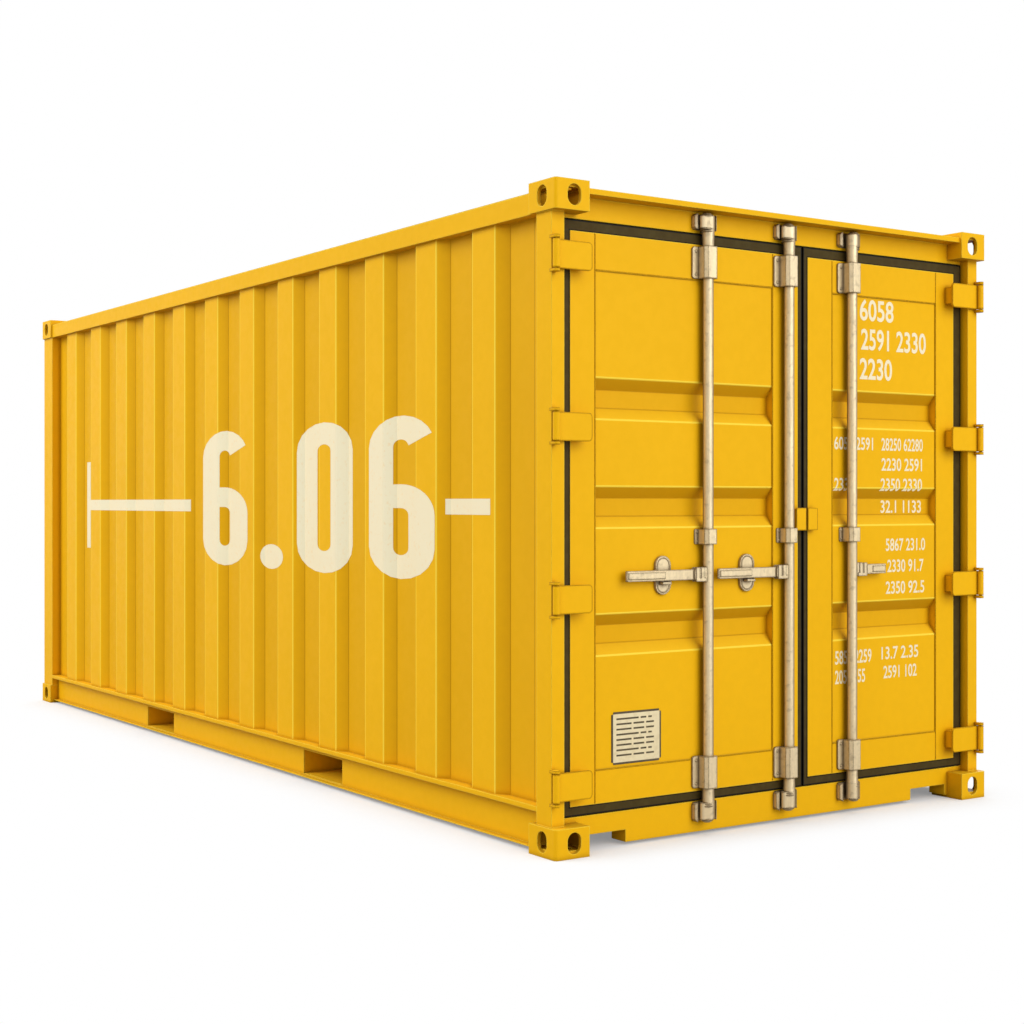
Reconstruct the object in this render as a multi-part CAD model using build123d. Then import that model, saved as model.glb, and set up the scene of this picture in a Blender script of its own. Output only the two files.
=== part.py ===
from build123d import *
import os

# A steel shipping container with corrugated sides, twin rear doors and three lock rods.
# Millimetres. X runs along the length with the door end at +X, Y across, Z up from the ground.

# Overall size
length = 6058.0
width = 2438.0
height = 2591.0

# Corner castings
casting_length = 178.0
casting_width = 162.0
casting_height = 118.0
casting_slot_wall = 28.0
casting_side_wall = 16.0
casting_inner_wall = 12.0
casting_corner_radius = 14.0
aperture_inset_length = 102.5
aperture_inset_width = 89.5
slot_length = 124.5
slot_width = 63.5
oval_height = 82.5
oval_width = 63.5

# Frame members
rail_inset = 12.0
base_lift = 12.5
post_width = 60.0
post_wall = 6.0
door_post_face = 42.0
door_post_depth = 100.0
door_stop_thickness = 6.0
door_stop_lap = 15.0
top_rail_width = 60.0
top_rail_drop = 35.0
top_rail_wall = 3.0
bottom_rail_base = 17.0
bottom_rail_top = 186.0
bottom_rail_wall = 4.5
bottom_rail_flange = 60.0
bottom_rail_lip = 20.0
bottom_rail_web_inset = 42.0
bottom_rail_foot_inset = 12.0

# Door header and sill
header_face = 88.0
header_base_drop = 133.0
header_top_drop = 25.0
header_wall = 4.0
gutter_thickness = 22.0
sill_top = 138.0
sill_wall = 4.5
notch_inset = 179.0
notch_width = 225.0
notch_top = 62.0

# Corrugated sheets
sheet = 2.0
wall_set_back = 2.0
wall_fold_depth = 38.0
wall_pitch = 454.0
wall_lead_share = 0.57
wall_flat = 168.0
wall_slope = 59.0
front_pitch = 360.0
front_lead_share = 0.5
roof_rise = 20.0
roof_rib_pitch = 418.0
roof_rib_base = 190.0
roof_rib_crown = 130.0
roof_rib_margin = 90.0

# Floor and underside
floor_top = 176.0
floor_thickness = 28.0
member_height = 122.0
member_flange = 45.0
member_wall = 4.0
member_pitch = 300.0
pocket_spacing = 2050.0
pocket_width = 400.0
pocket_height = 115.0
pocket_plate = 6.0
pocket_strap = 200.0

# Doors
seam_position = 140.0
seam_gap = 10.0
seam_gasket = 24.5
seal_gap = 5.0
leaf_edge_inset = 127.0
leaf_bottom = 180.0
leaf_top_drop = 181.0
leaf_face = 80.0
leaf_thickness = 50.0
hinge_stile = 120.0
seam_stile = 145.0
bottom_door_rail = 131.0
top_door_rail = 144.0
door_tube_wall = 3.2
panel_recess = 3.0
panel_fold_depth = 36.0
channel_shares = (0.270, 0.526, 0.744)
channel_height = 164.0
channel_slope = 46.0
gasket_face = 82.0
gasket_band = 12.0
gasket_depth = 28.0
gasket_root = 10.0
gasket_lip = 4.0

# Hinges
pin_inset = 16.0
pin_radius = 8.0
pin_clearance = 0.3
knuckle_radius = 14.0
hinge_height = 110.0
lower_hinge_rises = (91.0, 806.0)
upper_hinge_drops = (762.0, 105.0)
blade_face = 25.0
blade_thickness = 10.0
blade_end_inset = 194.0
blade_corner_radius = 16.0
pad_length = 55.0
pad_height = 76.0
pad_edge = 10.0
lug_gap = 3.0
lug_thickness = 12.0

# Lock rods
rod_depth = 52.0
rod_radius = 22.0
rod_positions = {"outer": -416.0, "middle": 34.0, "right": 408.0}
neck_radius = 24.0
neck_flare = 26.5
cap_radius = 27.0
cap_round = 7.0
rod_bottom = 62.0
bottom_cap_top = 136.0
top_cap_drop = 117.0
rod_top_drop = 61.0
cam_reach = 42.0
cam_tip_radius = 15.0
bearing_clearance = 0.4
bearing_half_width = 35.0
bearing_front = 29.0
bearing_bevel = 13.0
bearing_plate = 8.0
bearing_flange = 66.0
bearing_edge = 42.0
bearing_end_gap = 0.5
bearing_height = 130.0
bottom_bearing_base = 194.0
top_bearing_drop = 191.0
guide_drop = 8.0
guide_height = 62.0
guide_half_width = 33.0
guide_flange = 50.0
guide_edge = 34.0
guide_plate = 5.0

# Keepers
keeper_plate = 4.0
keeper_cheek = 11.0
keeper_gap = 6.0
keeper_front = 58.0
keeper_corner = 9.0
keeper_margin = 4.0

# Handles
handle_drop = 23.5
handle_height = 42.0
handle_thickness = 14.0
handle_pivot = 54.0
handle_pin_radius = 6.0
handle_bevel = 4.0
handle_lengths = {"outer": 425.0, "middle": 399.0, "right": 206.0}
handle_side = {"outer": -1, "middle": -1, "right": 1}
hub_cheek = 5.0
hub_height = 58.0
hub_corner = 12.0
hub_gap = 2.0
hub_web_gap = 3.0
hub_band = 18.0
hub_band_gap = 8.0
hub_band_rise = 3.0
hub_lip_height = 14.0
catch_centres = {"outer": -636.0, "middle": -186.0}
catch_width = 78.0
catch_height = 155.0
catch_thickness = 12.0
catch_gap = 5.0
cradle_thickness = 10.0
cradle_width = 44.0

# Seam plates
seam_plate_rise = 221.0
seam_plate_height = 96.0
seam_plate_reach = 62.0
seam_plate_face = 52.0
seam_plate_thickness = 6.0
seam_plate_foot = 30.0

half_length = length / 2
half_width = width / 2
top_rail_base = height - casting_height
top_rail_top = height - top_rail_drop
header_base = height - header_base_drop
header_top = height - header_top_drop
leaf_top = height - leaf_top_drop
rod_top = height - rod_top_drop
top_cap_base = height - top_cap_drop
panel_base = leaf_bottom + bottom_door_rail
panel_top = leaf_top - top_door_rail
channel_levels = [panel_base + share * (panel_top - panel_base) for share in channel_shares]
guide_base = channel_levels[1] - channel_height / 2 - guide_drop - guide_height
handle_level = (channel_levels[0] + channel_levels[1]) / 2 - handle_drop
seam_plate_level = handle_level + seam_plate_rise
hinge_levels = [leaf_bottom + rise for rise in lower_hinge_rises]
hinge_levels += [leaf_top - drop for drop in upper_hinge_drops]
notch_outer = half_width - notch_inset
notch_inner = notch_outer - notch_width
post_inner_inset = rail_inset + post_width
wall_face_inset = post_inner_inset - wall_set_back - sheet - wall_fold_depth
door_post_back = door_post_face + door_post_depth
leaf_back = leaf_face + leaf_thickness
door_stop_face = door_post_back - door_stop_thickness
opening_half = half_width - post_inner_inset
web_inner_inset = rail_inset + bottom_rail_web_inset + bottom_rail_wall
front_post_back = casting_length


def end_x(depth):
    return half_length - depth


def block(x0, x1, y0, y1, z0, z1):
    centre = Pos((x0 + x1) / 2, (y0 + y1) / 2, (z0 + z1) / 2)
    return centre * Box(abs(x1 - x0), abs(y1 - y0), abs(z1 - z0))


def prism_z(points, z0, z1):
    outline = Polyline(*[(x, y, z0) for x, y in points], close=True)
    return extrude(make_face(outline), amount=z1 - z0, dir=(0, 0, 1))


def prism_y(points, y0, y1):
    outline = Polyline(*[(x, y0, z) for x, z in points], close=True)
    return extrude(make_face(outline), amount=y1 - y0, dir=(0, 1, 0))


def prism_x(points, x0, x1):
    outline = Polyline(*[(x0, y, z) for y, z in points], close=True)
    return extrude(make_face(outline), amount=x1 - x0, dir=(1, 0, 0))


def rod_z(x, y, radius, z0, z1):
    return Pos(x, y, (z0 + z1) / 2) * Cylinder(radius, z1 - z0)


def both_sides(shape):
    return [shape, mirror(shape, about=Plane.XZ)]


def write(name, shapes):
    solids = shapes if isinstance(shapes, list) else [shapes]
    parts = [solid for shape in solids for solid in shape.solids()]
    whole = parts[0] if len(parts) == 1 else Compound(children=parts)
    export_step(whole, f"parts/{name}.step")


# Corner castings


def corner_casting():
    """A hollow casting at the +X, -Y corner with its slot face on the ground."""
    x_end, y_side = half_length, -half_width
    body = block(x_end - casting_length, x_end, y_side, y_side + casting_width, 0, casting_height)
    corner = body.edges().filter_by(Axis.Z).sort_by(lambda e: e.center().X - e.center().Y)[-1]
    body = fillet(corner, casting_corner_radius)
    body -= block(
        x_end - casting_length + casting_inner_wall,
        x_end - casting_side_wall,
        y_side + casting_side_wall,
        y_side + casting_width - casting_inner_wall,
        casting_slot_wall,
        casting_height - casting_side_wall,
    )
    slot_x, slot_y = x_end - aperture_inset_length, y_side + aperture_inset_width
    side_x, level = x_end - casting_length / 2, casting_height / 2
    oval = SlotOverall(oval_height, oval_width, rotation=90)
    end_plane = Plane(origin=(x_end, slot_y, level), x_dir=(0, 1, 0), z_dir=(-1, 0, 0))
    side_plane = Plane(origin=(side_x, y_side, level), x_dir=(1, 0, 0), z_dir=(0, 1, 0))
    slot = Pos(slot_x, slot_y, 0) * SlotOverall(slot_length, slot_width)
    body -= extrude(slot, amount=casting_slot_wall)
    body -= extrude(end_plane * oval, amount=casting_side_wall)
    body -= extrude(side_plane * oval, amount=casting_side_wall)
    return body


def casting_set(top):
    casting = corner_casting()
    if top:
        casting = Pos(0, 0, height) * mirror(casting, about=Plane.XY)
    ends = [casting, mirror(casting, about=Plane.YZ)]
    return [copy for end in ends for copy in both_sides(end)]


def casting_spaces():
    """The blocks that the castings fill, cut from members that butt against them."""
    x0 = end_x(casting_length)
    y0, y1 = -half_width, -half_width + casting_width
    low = block(x0, half_length, y0, y1, 0, casting_height)
    high = block(x0, half_length, y0, y1, height - casting_height, height)
    near = [low, high]
    ends = near + [mirror(space, about=Plane.YZ) for space in near]
    return [copy for space in ends for copy in both_sides(space)]


def fitted(member):
    for space in casting_spaces():
        member -= space
    return member


# Posts and rails


def door_post():
    x0, x1 = end_x(door_post_back), end_x(door_post_face)
    y0, y1 = -half_width + rail_inset, -opening_half
    base, top = casting_height, top_rail_base
    post = block(x0, x1, y0, y1, base, top)
    post -= block(x0 + post_wall, x1 - post_wall, y0 + post_wall, y1 - post_wall, base, top)
    stop_end = -half_width + leaf_edge_inset + door_stop_lap
    post += block(x0, x0 + door_stop_thickness, y1, stop_end, floor_top, header_base)
    return post


def front_post():
    x0, x1 = -half_length + rail_inset, -half_length + front_post_back
    y0, y1 = -half_width + rail_inset, -opening_half
    base, top, t = casting_height, top_rail_base, post_wall
    post = block(x0, x1, y0, y1, base, top)
    return post - block(x0 + t, x1 - t, y0 + t, y1 - t, base, top)


def top_side_rail():
    x0, x1 = -end_x(casting_length), end_x(casting_length)
    y0 = -half_width + rail_inset
    y1 = y0 + top_rail_width
    t = top_rail_wall
    rail = block(x0, x1, y0, y1, top_rail_base, top_rail_top)
    return rail - block(x0, x1, y0 + t, y1 - t, top_rail_base + t, top_rail_top - t)


def bottom_side_rail():
    t = bottom_rail_wall
    lip = -half_width + rail_inset
    web = lip + bottom_rail_web_inset
    foot = lip + bottom_rail_foot_inset
    profile = [
        (lip, bottom_rail_top - bottom_rail_lip),
        (lip, bottom_rail_top),
        (lip + bottom_rail_flange, bottom_rail_top),
        (lip + bottom_rail_flange, bottom_rail_top - t),
        (web + t, bottom_rail_top - t),
        (web + t, bottom_rail_base),
        (foot, bottom_rail_base),
        (foot, bottom_rail_base + t),
        (web, bottom_rail_base + t),
        (web, bottom_rail_top - t),
        (lip + t, bottom_rail_top - t),
        (lip + t, bottom_rail_top - bottom_rail_lip),
    ]
    rail = prism_x(profile, -end_x(front_post_back), end_x(door_post_back))
    rail = fitted(rail)
    half = pocket_width / 2
    for x in (-pocket_spacing / 2, pocket_spacing / 2):
        rail -= block(x - half, x + half, web - t, web + 2 * t, pocket_base(), pocket_top())
    return rail


def door_header():
    top, wall = header_top, header_wall
    profile = [
        (end_x(header_face), header_base),
        (end_x(header_face), top - gutter_thickness),
        (end_x(rail_inset), top - gutter_thickness),
        (end_x(rail_inset), top),
        (end_x(casting_length), top),
        (end_x(casting_length), header_base),
    ]
    header = prism_y(profile, -opening_half, opening_half)
    header -= block(
        end_x(casting_length) + wall,
        end_x(header_face) - wall,
        -opening_half,
        opening_half,
        header_base + wall,
        top - wall,
    )
    stop_end = half_width - leaf_edge_inset - door_stop_lap
    stop_base = leaf_top - door_stop_lap
    x0 = end_x(door_post_back)
    header += block(x0, x0 + door_stop_thickness, -stop_end, stop_end, stop_base, header_base)
    return fitted(header)


def door_sill():
    t = sill_wall
    face, step, back = end_x(header_face), end_x(door_stop_face), end_x(casting_length)
    outer = [
        (face, base_lift),
        (face, sill_top),
        (step, sill_top),
        (step, floor_top),
        (back, floor_top),
        (back, base_lift),
    ]

    def hollow(base):
        return [
            (face - t, base),
            (face - t, sill_top - t),
            (step - t, sill_top - t),
            (step - t, floor_top - t),
            (back + t, floor_top - t),
            (back + t, base),
        ]

    sill = prism_y(outer, -opening_half, opening_half)
    sill -= prism_y(hollow(base_lift + t), -notch_inner + t, notch_inner - t)
    for side in (-1, 1):
        inner, outer_end = side * (notch_inner - 2 * t), side * opening_half
        sill -= prism_y(hollow(notch_top + t), min(inner, outer_end), max(inner, outer_end))
        sill -= block(back, face, side * notch_inner, side * notch_outer, base_lift, notch_top)
    return fitted(sill)


def front_header():
    x0 = -half_length + rail_inset
    x1 = x0 + top_rail_width
    t = top_rail_wall
    span = half_width - casting_width
    header = block(x0, x1, -span, span, top_rail_base, top_rail_top)
    header -= block(x0 + t, x1 - t, -span, span, top_rail_base + t, top_rail_top - t)
    header += block(x1, -end_x(casting_length), -span, span, top_rail_top - t, top_rail_top)
    return header


def front_sill():
    t = bottom_rail_wall
    face, back = -half_length + rail_inset, -end_x(casting_length)
    seat = face + bottom_rail_flange
    profile = [
        (face, base_lift),
        (face, bottom_rail_top),
        (seat, bottom_rail_top),
        (seat, floor_top),
        (back, floor_top),
        (back, floor_top - floor_thickness),
        (back - t, floor_top - floor_thickness),
        (back - t, floor_top - t),
        (seat - t, floor_top - t),
        (seat - t, bottom_rail_top - t),
        (face + t, bottom_rail_top - t),
        (face + t, base_lift + t),
        (seat, base_lift + t),
        (seat, base_lift),
    ]
    return fitted(prism_y(profile, -opening_half, opening_half))


# Corrugated walls and roof


def corrugation(start, end, pitch, lead_share, face):
    """Fold line of a sheet: (along, across) points from start to end, with its ridges on the outer face."""
    inner = face + wall_fold_depth
    ridge_width = wall_flat + 2 * wall_slope
    ridges = int((end - start) / pitch)
    spare = (end - start) - (ridges - 1) * pitch - ridge_width
    points = [(start, inner)]
    for index in range(ridges):
        foot = start + lead_share * spare + index * pitch
        crown = foot + wall_slope
        far_crown = crown + wall_flat
        points += [(foot, inner), (crown, face), (far_crown, face), (far_crown + wall_slope, inner)]
    return points + [(end, inner)]


def folded_sheet(line):
    return line + [(along, across + sheet) for along, across in reversed(line)]


def side_wall():
    face = -half_width + wall_face_inset
    far_end = length - front_post_back
    line = corrugation(door_post_back, far_end, wall_pitch, wall_lead_share, face)
    profile = [(end_x(along), across) for along, across in folded_sheet(line)]
    return prism_z(profile, bottom_rail_top, top_rail_base)


def front_wall():
    line = corrugation(-opening_half, opening_half, front_pitch, front_lead_share, wall_face_inset)
    profile = [(-half_length + across, along) for along, across in folded_sheet(line)]
    return prism_z(profile, bottom_rail_top, top_rail_base)


def roof_rib(x, lift, shrink):
    """A raised rib with sloping sides and sloping ends, smaller by the shrink on its inner face."""
    low, high = top_rail_top + lift, top_rail_top + roof_rise + lift
    slope = (roof_rib_base - roof_rib_crown) / 2
    half_base = roof_rib_base / 2 - shrink
    half_span = half_width - roof_rib_margin - shrink

    def section(middle, half):
        foot, crown = half, half - slope
        return [(middle - foot, low), (middle + foot, low), (middle + crown, high), (middle - crown, high)]

    along = prism_y(section(x, half_base), -half_span, half_span)
    return along & prism_x(section(0, half_span), x - half_base, x + half_base)


def roof_panel():
    reach = end_x(casting_length)
    side = half_width - rail_inset
    roof = block(-reach, reach, -side, side, top_rail_top, top_rail_top + sheet)
    ribs = int(2 * reach / roof_rib_pitch)
    places = [(index - (ribs - 1) / 2) * roof_rib_pitch for index in range(ribs)]
    for x in places:
        roof += roof_rib(x, sheet, 0)
    for x in places:
        roof -= roof_rib(x, 0, sheet)
    return roof


# Floor and underside


def plywood_floor():
    reach = end_x(casting_length)
    side = half_width - web_inner_inset
    return block(-reach, reach, -side, side, floor_top - floor_thickness, floor_top)


def spaced(start, end, pitch):
    """Even places between two ends, about one pitch apart."""
    count = int((end - start) / pitch)
    step = (end - start) / (count + 1)
    return [start + step * (index + 1) for index in range(count)]


def cross_members():
    """Channels across the underside, in the bays before, between and behind the fork pockets."""
    side = half_width - web_inner_inset
    reach = end_x(casting_length)
    near = (pocket_spacing - pocket_width) / 2
    far = (pocket_spacing + pocket_width) / 2
    bays = [(-reach, -far), (-near, near), (far, reach)]
    places = [place for start, end in bays for place in spaced(start, end, member_pitch)]
    top = floor_top - floor_thickness
    base, t = top - member_height, member_wall
    members = []
    for place in places:
        x = place - member_flange / 2
        profile = [
            (x, base),
            (x, top),
            (x + member_flange, top),
            (x + member_flange, top - t),
            (x + t, top - t),
            (x + t, base + t),
            (x + member_flange, base + t),
            (x + member_flange, base),
        ]
        members.append(prism_y(profile, -side, side))
    return members


def pocket_top():
    return floor_top - floor_thickness - pocket_plate


def pocket_base():
    return pocket_top() - pocket_height


def fork_pocket(x):
    side = half_width - web_inner_inset
    half, t = pocket_width / 2, pocket_plate
    tunnel = block(x - half - t, x + half + t, -side, side, pocket_top(), pocket_top() + t)
    for edge in (x - half - t, x + half):
        tunnel += block(edge, edge + t, -side, side, pocket_base() - t, pocket_top())
    for y0, y1 in ((-side, -side + pocket_strap), (side - pocket_strap, side)):
        tunnel += block(x - half - t, x + half + t, y0, y1, pocket_base() - t, pocket_base())
    return tunnel


# Door leaves


def door_frame(hinge_edge, seam_edge):
    """A leaf's frame: two upright tubes and two channels open to the cargo side."""
    direction = 1 if seam_edge > hinge_edge else -1
    x0, x1, t = end_x(leaf_back), end_x(leaf_face), door_tube_wall
    hinge_inner = hinge_edge + direction * hinge_stile
    seam_inner = seam_edge - direction * seam_stile
    frame = None
    for a, b in ((hinge_edge, hinge_inner), (seam_inner, seam_edge)):
        low, high = min(a, b), max(a, b)
        stile = block(x0, x1, low, high, leaf_bottom, leaf_top)
        stile -= block(x0 + t, x1 - t, low + t, high - t, leaf_bottom, leaf_top)
        frame = stile if frame is None else frame + stile
    low, high = min(hinge_inner, seam_inner), max(hinge_inner, seam_inner)
    for z0, z1 in ((leaf_bottom, panel_base), (panel_top, leaf_top)):
        rail = block(x0, x1, low, high, z0, z1)
        rail -= block(x0, x1 - t, low, high, z0 + t, z1 - t)
        frame += rail
    return frame


def door_panel(hinge_edge, seam_edge):
    direction = 1 if seam_edge > hinge_edge else -1
    hinge_inner = hinge_edge + direction * hinge_stile
    seam_inner = seam_edge - direction * seam_stile
    half = channel_height / 2
    face = leaf_face + panel_recess
    back = face + panel_fold_depth
    line = [(panel_base, face)]
    for level in channel_levels:
        z0, z1 = level - half, level + half
        line += [(z0, face), (z0 + channel_slope, back), (z1 - channel_slope, back), (z1, face)]
    line.append((panel_top, face))
    profile = [(end_x(across), along) for along, across in folded_sheet(line)]
    return prism_y(profile, min(hinge_inner, seam_inner), max(hinge_inner, seam_inner))


def door_gasket(hinge_edge, seam_edge):
    """A seal ring round the leaf: a root on the leaf's edge, a wide front band and a rear lip."""
    outward = -1 if seam_edge > hinge_edge else 1
    hinge_outer = outward * (opening_half - seal_gap)
    seam_outer = seam_edge - outward * seam_gasket
    leaf = (min(hinge_edge, seam_edge), max(hinge_edge, seam_edge), leaf_bottom, leaf_top)
    outer = (
        min(hinge_outer, seam_outer),
        max(hinge_outer, seam_outer),
        sill_top + seal_gap,
        header_base - seal_gap,
    )

    def ring(depth0, depth1, inner, outside):
        x0, x1 = end_x(depth1), end_x(depth0)
        whole = block(x0, x1, *outside)
        return whole - block(x0, x1, *inner)

    def grown(box, amount):
        return (box[0] - amount, box[1] + amount, box[2] - amount, box[3] + amount)

    band_end = gasket_face + gasket_band
    seal_end = gasket_face + gasket_depth
    band = ring(gasket_face, band_end, leaf, outer)
    root = ring(band_end, seal_end, leaf, grown(leaf, gasket_root))
    lip = ring(band_end, seal_end, grown(outer, -gasket_lip), outer)
    return band + root + lip


def hinge_leaf(level, side):
    """A knuckle round the pin, a blade over the post and a pad on the leaf's stile."""
    pin_y = side * (half_width - pin_inset)
    blade_end = side * (half_width - blade_end_inset)
    z0, z1 = level - hinge_height / 2, level + hinge_height / 2
    blade_x0, blade_x1 = end_x(blade_face + blade_thickness), end_x(blade_face)
    blade = block(blade_x0, blade_x1, pin_y, blade_end, z0, z1)
    far_corners = blade.edges().filter_by(Axis.X).sort_by(lambda e: side * e.center().Y)[:2]
    blade = fillet(far_corners, blade_corner_radius)
    pad_y0 = blade_end + side * pad_edge
    pad_y1 = pad_y0 + side * pad_length
    pad = block(end_x(leaf_face), blade_x0, pad_y0, pad_y1, level - pad_height / 2, level + pad_height / 2)
    hinge = rod_z(end_x(pin_inset), pin_y, knuckle_radius, z0, z1) + blade + pad
    return hinge - rod_z(end_x(pin_inset), pin_y, pin_radius + pin_clearance, z0, z1)


def hinge_lugs(side):
    """Two ears on the post for each hinge, with the pin held in them."""
    pin_x, pin_y = end_x(pin_inset), side * (half_width - pin_inset)
    y0, y1 = pin_y - knuckle_radius, pin_y + knuckle_radius
    lugs = []
    for level in hinge_levels:
        low = level - hinge_height / 2 - lug_gap - lug_thickness
        high = level + hinge_height / 2 + lug_gap
        pair = rod_z(pin_x, pin_y, pin_radius, low, high + lug_thickness)
        for z0 in (low, high):
            z1 = z0 + lug_thickness
            pair += rod_z(pin_x, pin_y, knuckle_radius, z0, z1)
            pair += block(end_x(door_post_face), pin_x, y0, y1, z0, z1)
        lugs.append(pair)
    return lugs


# Lock gear


def clasp(y, half_width, span, plate):
    """A bevelled housing round the rod on a plate, given by its seat's depth, thickness and two reaches."""
    x, (z0, z1) = end_x(rod_depth), span
    face, thickness, low, high = plate
    front, bevel = x + bearing_front, bearing_bevel
    outline = [
        (end_x(face), y - half_width),
        (front - bevel, y - half_width),
        (front, y - half_width + bevel),
        (front, y + half_width - bevel),
        (front - bevel, y + half_width),
        (end_x(face), y + half_width),
    ]
    seat = block(end_x(face), end_x(face - thickness), y - low, y + high, z0, z1)
    corners = seat.edges().filter_by(Axis.X).sort_by(Axis.Y)[:2]
    body = prism_z(outline, z0, z1) + chamfer(corners, thickness)
    return body - rod_z(x, y, rod_radius + bearing_clearance, z0, z1)


def bearing_top():
    return height - top_bearing_drop


def rod_bearings(names):
    levels = (bottom_bearing_base, bearing_top() - bearing_height)
    bearings = []
    for name in names:
        for z0 in levels:
            span = (z0, z0 + bearing_height)
            plate = (leaf_face, bearing_plate, bearing_flange, bearing_edge)
            bearings.append(clasp(rod_positions[name], bearing_half_width, span, plate))
    return bearings


def rod_guide(name, face):
    plate = (face, guide_plate, guide_flange, guide_edge)
    return clasp(rod_positions[name], guide_half_width, (guide_base, guide_base + guide_height), plate)


def cam_head(name, z0, z1, outer_end):
    """A rounded head about the rod with its cam to the handle's side, bevelled at the outer end."""
    x, y, side = end_x(rod_depth), rod_positions[name], handle_side[name]
    tip_y = y + side * (cam_reach - cam_tip_radius)
    rounds = [Pos(x, y) * Circle(cap_radius), Pos(x, tip_y) * Circle(cam_tip_radius)]
    outline = make_hull([edge for face in rounds for edge in face.edges()])
    head = extrude(Pos(0, 0, z0) * outline, amount=z1 - z0)
    rim = head.faces().sort_by(lambda f: abs(f.center().Z - outer_end))[0].edges()
    return chamfer(rim, cap_round)


def lock_rod(name):
    """A rod with a cam head at each end on a flared neck, and the handle's hub."""
    x, y = end_x(rod_depth), rod_positions[name]
    low, high = bottom_bearing_base - bearing_end_gap, bearing_top() + bearing_end_gap
    rod = rod_z(x, y, rod_radius, low, high)
    rod += Pos(x, y, (bottom_cap_top + low) / 2) * Cone(neck_flare, neck_radius, low - bottom_cap_top)
    rod += Pos(x, y, (high + top_cap_base) / 2) * Cone(neck_radius, neck_flare, top_cap_base - high)
    rod += cam_head(name, rod_bottom, bottom_cap_top, rod_bottom)
    rod += cam_head(name, top_cap_base, rod_top, rod_top)
    return rod + handle_hub(name)


def handle_hub(name):
    """A forged fork on the rod's side, with two bands and a lip on its front and the pin of the handle."""
    x, y, side = end_x(rod_depth), rod_positions[name], handle_side[name]
    inner = handle_thickness / 2 + hub_gap
    outer = inner + hub_cheek
    half = hub_height / 2
    z0, z1 = handle_level - half, handle_level + half
    pivot_y, web_y = y + side * handle_pivot, y + side * (handle_pivot - handle_height / 2 - hub_web_gap)
    end_y = pivot_y + side * half
    hub = block(x - outer, x + outer, y, end_y, z0, z1)
    ends = hub.edges().filter_by(Axis.X).sort_by(lambda e: -side * e.center().Y)[:2]
    hub = chamfer(ends, hub_corner)
    hub -= block(x - inner, x + inner, web_y, end_y, z0, z1)
    front = x + outer + hub_band_rise
    for middle in (-1, 1):
        band = pivot_y + middle * (hub_band + hub_band_gap) / 2
        hub += block(x + outer, front, band - hub_band / 2, band + hub_band / 2, z0, z1)
    hub += block(x + outer, front, y + side * rod_radius, end_y - side * hub_corner, z0, z0 + hub_lip_height)
    pin = Plane(origin=(x - outer, pivot_y, handle_level), z_dir=(1, 0, 0)) * Circle(handle_pin_radius)
    return hub + extrude(pin, amount=2 * outer)


def lock_handle(name):
    """A flat bar with a round eye on the hub's pin."""
    x, side = end_x(rod_depth), handle_side[name]
    pivot_y = rod_positions[name] + side * handle_pivot
    tip_y = rod_positions[name] + side * handle_lengths[name]
    half = handle_height / 2
    x0 = x - handle_thickness / 2
    eye = Plane(origin=(x0, pivot_y, handle_level), z_dir=(1, 0, 0))
    bar = block(x0, x0 + handle_thickness, pivot_y, tip_y, handle_level - half, handle_level + half)
    tip_face = bar.faces().sort_by(lambda f: -side * f.center().Y)[0]
    bar = chamfer(tip_face.edges(), handle_bevel)
    bar += extrude(eye * Circle(half), amount=handle_thickness)
    return bar - extrude(eye * Circle(handle_pin_radius + pin_clearance), amount=handle_thickness)


def handle_catch(name):
    """An oval plate behind the handle with a cradle under it."""
    y, face = catch_centres[name], leaf_face + panel_recess
    plate_x = end_x(face)
    plane = Plane(origin=(plate_x, y, handle_level), x_dir=(0, 1, 0), z_dir=(1, 0, 0))
    plate = extrude(plane * SlotOverall(catch_height, catch_width, rotation=90), amount=catch_thickness)
    top = handle_level - handle_height / 2 - catch_gap
    front = end_x(rod_depth - handle_thickness / 2)
    half, seat = cradle_width / 2, plate_x + catch_thickness
    return plate + block(seat, front, y - half, y + half, top - cradle_thickness, top)


def keeper(name, z0, z1):
    """A base plate with two cheeks that stand either side of a cam, open to the front."""
    y, face = rod_positions[name], end_x(header_face)
    inner = cam_reach + keeper_gap
    outer = inner + keeper_cheek
    low, high = z0 - keeper_margin, z1 + keeper_margin
    body = block(face, end_x(keeper_front), y - outer, y + outer, low, high)
    corners = [edge for axis in (Axis.X, Axis.Z) for edge in body.edges().filter_by(axis) if edge.center().X > face]
    body = chamfer(corners, keeper_corner)
    return body - block(face + keeper_plate, end_x(keeper_front), y - inner, y + inner, low, high)


def seam_plate(side):
    """Half of the lock plate at the seam, standing on a foot on the leaf's stile."""
    edge = seam_position + side * seam_gap / 2
    end = seam_position + side * seam_plate_reach
    z0, z1 = seam_plate_level - seam_plate_height / 2, seam_plate_level + seam_plate_height / 2
    x1 = end_x(seam_plate_face)
    x0 = x1 - seam_plate_thickness
    plate = block(x0, x1, min(edge, end), max(edge, end), z0, z1)
    far = plate.edges().filter_by(Axis.X).sort_by(lambda e: -side * e.center().Y)[:2]
    plate = fillet(far, seam_plate_thickness)
    y0, y1 = sorted((end - side * seam_plate_foot, end))
    inset = seam_plate_thickness
    return plate + block(end_x(leaf_face), x0, y0, y1, z0 + inset, z1 - inset)


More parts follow.
